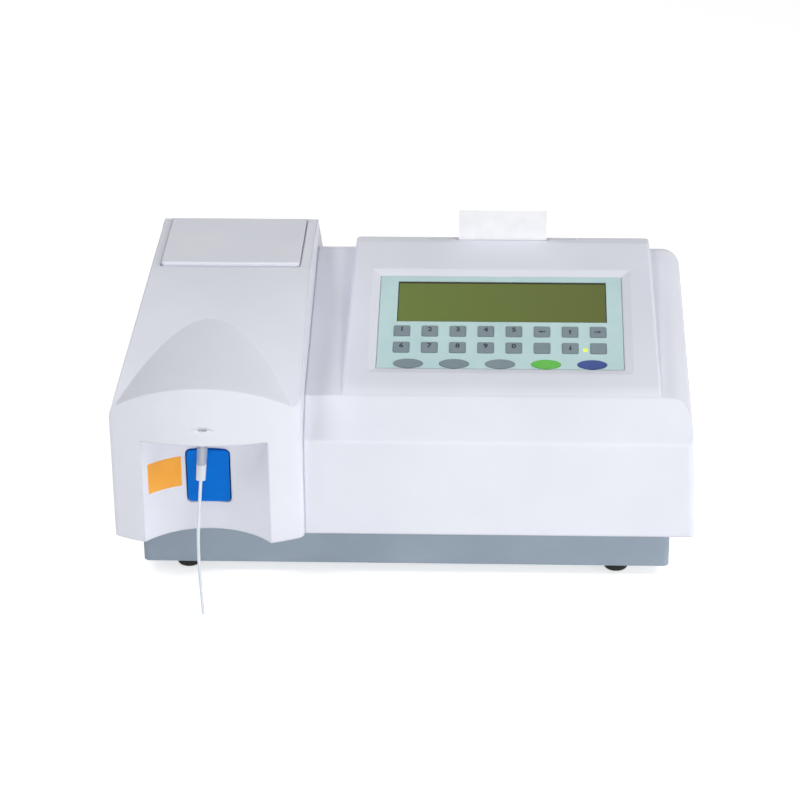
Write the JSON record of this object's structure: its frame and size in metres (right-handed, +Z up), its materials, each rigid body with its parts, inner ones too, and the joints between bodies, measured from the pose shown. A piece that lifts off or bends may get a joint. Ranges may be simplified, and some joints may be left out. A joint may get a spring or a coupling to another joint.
{
  "type": "benchtop chemistry analyzer",
  "caption": "Benchtop chemistry analyzer with a sampling probe in a front recess, a flow-cell lid, a sloping membrane keypad with a display and a strip printer.",
  "frame": {"origin": "on the table under the middle of the instrument, without its aspiration tube", "axes": "+X to the right along the width, +Y to the back, +Z up; the display centre is at y = 0"},
  "size_m": [0.3614, 0.2889, 0.1823],
  "materials": {
    "housing": "satin",
    "base": "satin",
    "foot": "matte",
    "overlay": "satin",
    "display": "gloss",
    "key_grey": "satin",
    "key_green": "satin",
    "key_violet": "satin",
    "blue_key": "satin",
    "steel": "satin",
    "sleeve": "gloss",
    "tube": "satin",
    "bench": "satin",
    "anodised": "matte",
    "quartz": "gloss",
    "filter_glass": "gloss",
    "dark_plastic": "matte",
    "pump_body": "satin",
    "pump_rotor": "satin",
    "roller": "satin",
    "silicone": "matte",
    "board": "satin",
    "supply_case": "satin",
    "panel_metal": "satin",
    "barb": "satin",
    "platen": "matte",
    "paper": "matte",
    "screw": "satin"
  },
  "bodies": {
    "case": {"main_housing": "housing", "module_housing": "housing", "base_pan": "base", "rubber_feet": "foot", "case_screws": "screw", "aspirate_switch": "dark_plastic", "probe_fitting": "steel", "probe_sleeve": "sleeve", "aspiration_tube": "tube", "membrane_keypad": "overlay", "display_module": "display", "optical_bench": "bench", "flow_cell_block": "anodised", "flow_cell": "quartz", "filter_motor": "steel", "lamp_housing": "anodised", "photodetector": "dark_plastic", "pump_head": "pump_body", "pump_tubing": "silicone", "main_board": "board", "power_supply": "supply_case", "rear_panel": "panel_metal", "mains_inlet": "dark_plastic", "fan_frame": "dark_plastic", "data_port": "steel", "waste_outlet": "barb", "printer_frame": "dark_plastic", "paper_strip": "paper"},
    "cell_lid": {"cell_lid": "housing"},
    "aspirate_key": {"aspirate_key": "blue_key"},
    "filter_wheel": {"filter_wheel": "anodised", "interference_filters": "filter_glass"},
    "pump_rotor": {"pump_rotor": "pump_rotor", "pump_rollers": "roller"},
    "fan_rotor": {"fan_rotor": "dark_plastic"},
    "platen_roller": {"platen_roller": "platen"},
    "paper_roll": {"paper_roll": "paper"},
    "power_rocker": {"power_rocker": "dark_plastic"},
    "printer_cover": {"printer_cover": "housing"},
    "key_row1_1": {"key_row1_1": "key_grey"},
    "key_row1_2": {"key_row1_2": "key_grey"},
    "key_row1_3": {"key_row1_3": "key_grey"},
    "key_row1_4": {"key_row1_4": "key_grey"},
    "key_row1_5": {"key_row1_5": "key_grey"},
    "key_row1_6": {"key_row1_6": "key_grey"},
    "key_row1_7": {"key_row1_7": "key_grey"},
    "key_row1_8": {"key_row1_8": "key_grey"},
    "key_row2_1": {"key_row2_1": "key_grey"},
    "key_row2_2": {"key_row2_2": "key_grey"},
    "key_row2_3": {"key_row2_3": "key_grey"},
    "key_row2_4": {"key_row2_4": "key_grey"},
    "key_row2_5": {"key_row2_5": "key_grey"},
    "key_row2_6": {"key_row2_6": "key_grey"},
    "key_row2_7": {"key_row2_7": "key_grey"},
    "key_row2_8": {"key_row2_8": "key_grey"},
    "oval_key_1": {"oval_key_1": "key_grey"},
    "oval_key_2": {"oval_key_2": "key_grey"},
    "oval_key_3": {"oval_key_3": "key_grey"},
    "oval_key_4": {"oval_key_4": "key_green"},
    "oval_key_5": {"oval_key_5": "key_violet"}
  },
  "joints": [
    {"name": "cell_lid_hinge", "type": "hinge", "parent": "case", "child": "cell_lid", "pos_m": [-0.12155, 0.0607, 0.1716], "axis": [-1, 0, 0], "range_deg": [0, 100]},
    {"name": "printer_cover_hinge", "type": "hinge", "parent": "case", "child": "printer_cover", "pos_m": [0.05945, 0.1115, 0.12879], "axis": [-1, 0, 0], "range_deg": [0, 75]},
    {"name": "aspirate_key_pivot", "type": "hinge", "parent": "case", "child": "aspirate_key", "pos_m": [-0.12155, -0.1004, 0.089], "axis": [1, 0, 0], "range_deg": [0, 4], "stiffness_Nm_per_rad": 0.3},
    {"name": "power_rocker_pivot", "type": "hinge", "parent": "case", "child": "power_rocker", "pos_m": [0.09715, 0.1195, 0.077], "axis": [1, 0, 0], "range_deg": [-16, 0]},
    {"name": "filter_wheel_turn", "type": "hinge", "parent": "case", "child": "filter_wheel", "pos_m": [-0.10855, 0.043, 0.14], "axis": [0, 1, 0], "continuous": true},
    {"name": "pump_rotor_turn", "type": "hinge", "parent": "case", "child": "pump_rotor", "pos_m": [-0.09075, 0.016, 0.1444], "axis": [0, 0, 1], "continuous": true},
    {"name": "fan_spin", "type": "hinge", "parent": "case", "child": "fan_rotor", "pos_m": [0.03615, 0.112, 0.077], "axis": [0, 1, 0], "continuous": true},
    {"name": "paper_roll_turn", "type": "hinge", "parent": "case", "child": "paper_roll", "pos_m": [0.05945, 0.091, 0.117], "axis": [-1, 0, 0], "continuous": true},
    {"name": "platen_turn", "type": "hinge", "parent": "case", "child": "platen_roller", "pos_m": [0.05945, 0.0646, 0.144], "axis": [-1, 0, 0], "continuous": true},
    {"name": "key_row1_1_press", "type": "slide", "parent": "case", "child": "key_row1_1", "axis": [0, 0.2756, -0.9613], "range_m": [0, 0.0004], "stiffness_N_per_m": 3000},
    {"name": "key_row1_2_press", "type": "slide", "parent": "case", "child": "key_row1_2", "axis": [0, 0.2756, -0.9613], "range_m": [0, 0.0004], "stiffness_N_per_m": 3000},
    {"name": "key_row1_3_press", "type": "slide", "parent": "case", "child": "key_row1_3", "axis": [0, 0.2756, -0.9613], "range_m": [0, 0.0004], "stiffness_N_per_m": 3000},
    {"name": "key_row1_4_press", "type": "slide", "parent": "case", "child": "key_row1_4", "axis": [0, 0.2756, -0.9613], "range_m": [0, 0.0004], "stiffness_N_per_m": 3000},
    {"name": "key_row1_5_press", "type": "slide", "parent": "case", "child": "key_row1_5", "axis": [0, 0.2756, -0.9613], "range_m": [0, 0.0004], "stiffness_N_per_m": 3000},
    {"name": "key_row1_6_press", "type": "slide", "parent": "case", "child": "key_row1_6", "axis": [0, 0.2756, -0.9613], "range_m": [0, 0.0004], "stiffness_N_per_m": 3000},
    {"name": "key_row1_7_press", "type": "slide", "parent": "case", "child": "key_row1_7", "axis": [0, 0.2756, -0.9613], "range_m": [0, 0.0004], "stiffness_N_per_m": 3000},
    {"name": "key_row1_8_press", "type": "slide", "parent": "case", "child": "key_row1_8", "axis": [0, 0.2756, -0.9613], "range_m": [0, 0.0004], "stiffness_N_per_m": 3000},
    {"name": "key_row2_1_press", "type": "slide", "parent": "case", "child": "key_row2_1", "axis": [0, 0.2756, -0.9613], "range_m": [0, 0.0004], "stiffness_N_per_m": 3000},
    {"name": "key_row2_2_press", "type": "slide", "parent": "case", "child": "key_row2_2", "axis": [0, 0.2756, -0.9613], "range_m": [0, 0.0004], "stiffness_N_per_m": 3000},
    {"name": "key_row2_3_press", "type": "slide", "parent": "case", "child": "key_row2_3", "axis": [0, 0.2756, -0.9613], "range_m": [0, 0.0004], "stiffness_N_per_m": 3000},
    {"name": "key_row2_4_press", "type": "slide", "parent": "case", "child": "key_row2_4", "axis": [0, 0.2756, -0.9613], "range_m": [0, 0.0004], "stiffness_N_per_m": 3000},
    {"name": "key_row2_5_press", "type": "slide", "parent": "case", "child": "key_row2_5", "axis": [0, 0.2756, -0.9613], "range_m": [0, 0.0004], "stiffness_N_per_m": 3000},
    {"name": "key_row2_6_press", "type": "slide", "parent": "case", "child": "key_row2_6", "axis": [0, 0.2756, -0.9613], "range_m": [0, 0.0004], "stiffness_N_per_m": 3000},
    {"name": "key_row2_7_press", "type": "slide", "parent": "case", "child": "key_row2_7", "axis": [0, 0.2756, -0.9613], "range_m": [0, 0.0004], "stiffness_N_per_m": 3000},
    {"name": "key_row2_8_press", "type": "slide", "parent": "case", "child": "key_row2_8", "axis": [0, 0.2756, -0.9613], "range_m": [0, 0.0004], "stiffness_N_per_m": 3000},
    {"name": "oval_key_1_press", "type": "slide", "parent": "case", "child": "oval_key_1", "axis": [0, 0.2756, -0.9613], "range_m": [0, 0.0004], "stiffness_N_per_m": 3000},
    {"name": "oval_key_2_press", "type": "slide", "parent": "case", "child": "oval_key_2", "axis": [0, 0.2756, -0.9613], "range_m": [0, 0.0004], "stiffness_N_per_m": 3000},
    {"name": "oval_key_3_press", "type": "slide", "parent": "case", "child": "oval_key_3", "axis": [0, 0.2756, -0.9613], "range_m": [0, 0.0004], "stiffness_N_per_m": 3000},
    {"name": "oval_key_4_press", "type": "slide", "parent": "case", "child": "oval_key_4", "axis": [0, 0.2756, -0.9613], "range_m": [0, 0.0004], "stiffness_N_per_m": 3000},
    {"name": "oval_key_5_press", "type": "slide", "parent": "case", "child": "oval_key_5", "axis": [0, 0.2756, -0.9613], "range_m": [0, 0.0004], "stiffness_N_per_m": 3000}
  ],
  "couplings": [
    {"joint": "paper_roll_turn", "follows": "platen_turn", "ratio": 0.2647}
  ]
}
